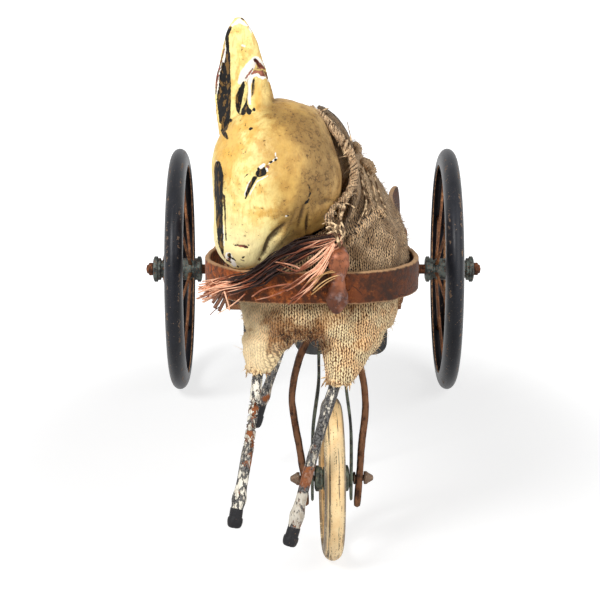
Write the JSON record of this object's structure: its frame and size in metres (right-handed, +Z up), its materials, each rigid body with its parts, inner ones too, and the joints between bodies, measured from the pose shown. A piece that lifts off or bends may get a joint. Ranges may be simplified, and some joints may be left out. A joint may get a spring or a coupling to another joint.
{
  "type": "goat cart pull toy",
  "caption": "Old pull toy: a knit covered goat carried in a hand bent iron frame with two wire spoked rear wheels, a steered front wheel and a small tin cart behind.",
  "frame": {"origin": "on the ground under the middle of the toy's bounding box", "axes": "the goat faces -Y, the rear axle runs along X, +Z is up"},
  "size_m": [0.209, 0.4265, 0.2574],
  "materials": {
    "black_paint": "worn black enamel with rust flecks",
    "rusty_wire": "rusty wire",
    "hub_metal": "grey green turned iron",
    "cream_paint": "worn cream enamel",
    "dark_iron": "dark worn paint",
    "steel": "dull steel",
    "rusty_iron": "rusty wrought iron",
    "wood": "old bare wood",
    "knit": "aged stockinette knit",
    "head_paint": "yellow oil paint on composition, crazed",
    "leg_paint": "flaking white paint on grey metal",
    "hoof_paint": "black paint",
    "raffia": "dry raffia",
    "cart_tin": "dark charcoal painted tin"
  },
  "bodies": {
    "frame": {"rear_axle": "rusty_iron", "left_axle_nut": "rusty_iron", "right_axle_nut": "rusty_iron", "left_axle_collar": "rusty_iron", "right_axle_collar": "rusty_iron", "frame_band": "rusty_iron", "bearer_strap": "rusty_iron", "left_bearer_rivet": "rusty_iron", "right_bearer_rivet": "rusty_iron", "tow_hook": "rusty_iron", "body_core": "wood", "torso": "knit", "left_sleeve": "knit", "right_sleeve": "knit", "knit_collar": "knit", "neck_ball": "wood", "left_front_leg": "leg_paint", "left_front_hoof": "hoof_paint", "right_front_leg": "leg_paint", "right_front_hoof": "hoof_paint", "left_hind_leg": "leg_paint", "left_hind_hoof": "hoof_paint", "right_hind_leg": "leg_paint", "right_hind_hoof": "hoof_paint", "raffia_knot": "raffia", "raffia_bundle": "raffia", "cart_apron": "cart_tin", "cart_floor": "cart_tin", "cart_left_side": "cart_tin", "cart_right_side": "cart_tin", "cart_back": "cart_tin", "cart_seat": "wood", "left_axle_bracket": "dark_iron", "right_axle_bracket": "dark_iron"},
    "rear_left_wheel": {"rear_left_rim": "black_paint", "rear_left_spokes": "rusty_wire", "rear_left_hub": "hub_metal"},
    "rear_right_wheel": {"rear_right_rim": "black_paint", "rear_right_spokes": "rusty_wire", "rear_right_hub": "hub_metal"},
    "fork": {"stamped_fork": "dark_iron", "left_fork_strap": "rusty_iron", "right_fork_strap": "rusty_iron", "king_pin": "steel", "steering_washer": "steel", "front_axle": "steel", "left_cone_nut": "rusty_iron", "right_cone_nut": "rusty_iron", "left_fork_washer": "steel", "right_fork_washer": "steel"},
    "front_wheel": {"front_rim": "cream_paint", "front_spokes": "cream_paint", "front_hub": "dark_iron"},
    "head": {"head": "head_paint", "tall_ear": "head_paint", "broken_ear": "head_paint"}
  },
  "joints": [
    {"name": "rear_left_spin", "type": "hinge", "parent": "frame", "child": "rear_left_wheel", "pos_m": [-0.083, 0.13825, 0.075], "axis": [1, 0, 0], "continuous": true},
    {"name": "rear_right_spin", "type": "hinge", "parent": "frame", "child": "rear_right_wheel", "pos_m": [0.083, 0.13825, 0.075], "axis": [1, 0, 0], "continuous": true},
    {"name": "fork_steer", "type": "hinge", "parent": "frame", "child": "fork", "pos_m": [0.0067, -0.15375, 0.11], "axis": [0, 0, 1], "range_deg": [-17, 13]},
    {"name": "front_spin", "type": "hinge", "parent": "fork", "child": "front_wheel", "pos_m": [0.0067, -0.15375, 0.039], "axis": [0.9994, 0.0349, 0], "continuous": true},
    {"name": "head_nod", "type": "hinge", "parent": "frame", "child": "head", "pos_m": [-0.015, -0.18215, 0.195], "axis": [-0.5323, 0.8465, 0], "range_deg": [0, 15]}
  ]
}
